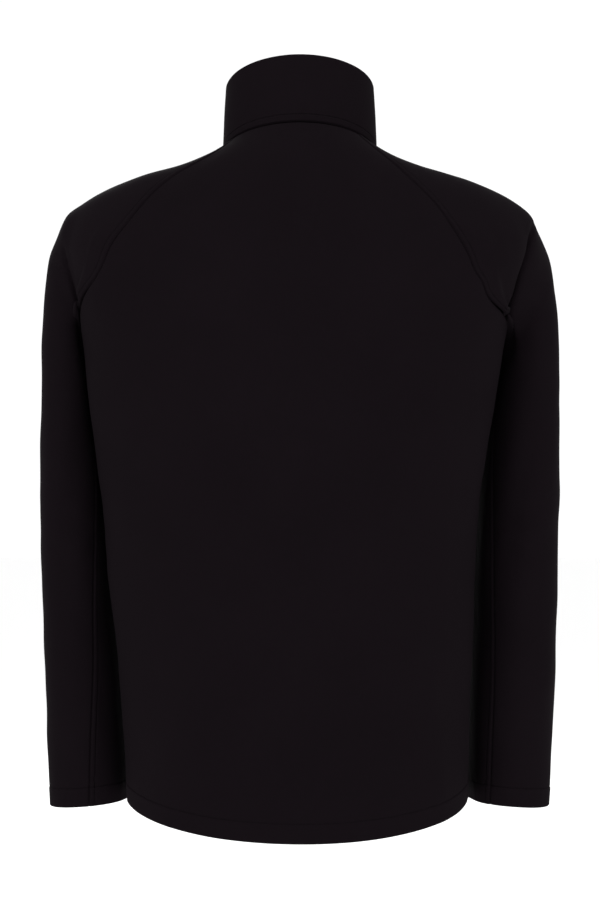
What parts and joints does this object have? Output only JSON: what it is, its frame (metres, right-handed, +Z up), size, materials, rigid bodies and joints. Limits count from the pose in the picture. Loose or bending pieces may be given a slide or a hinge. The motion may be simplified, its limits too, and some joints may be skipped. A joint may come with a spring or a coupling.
{
  "type": "softshell jacket",
  "caption": "Filled-out softshell jacket with raglan sleeves, stand collar, dropped back hem and a closed centre-front zip whose pull tab swings.",
  "frame": {"origin": "on the centre axis of the body, level with the side neck points where the collar meets the shoulders", "axes": "+Z up, +Y towards the wearer's back, +X towards the wearer's left; the zip faces -Y"},
  "size_m": [0.5529, 0.258, 0.8077],
  "materials": {
    "softshell": "matte woven face",
    "zip_tape": "matte",
    "zip_coil": "matte",
    "zip_metal": "satin black"
  },
  "bodies": {
    "jacket": {"back": "softshell", "front_left": "softshell", "front_right": "softshell", "sleeve_left": "softshell", "sleeve_right": "softshell", "collar": "softshell", "zip_tape_left": "zip_tape", "zip_tape_right": "zip_tape", "zip_chain": "zip_coil", "zip_stop": "zip_metal", "zip_slider": "zip_metal"},
    "pull": {"zip_pull": "zip_metal"}
  },
  "joints": [
    {"name": "pull_swing", "type": "hinge", "parent": "jacket", "child": "pull", "pos_m": [0, -0.06385, 0.02], "axis": [-1, 0, 0], "range_deg": [0, 150]}
  ]
}
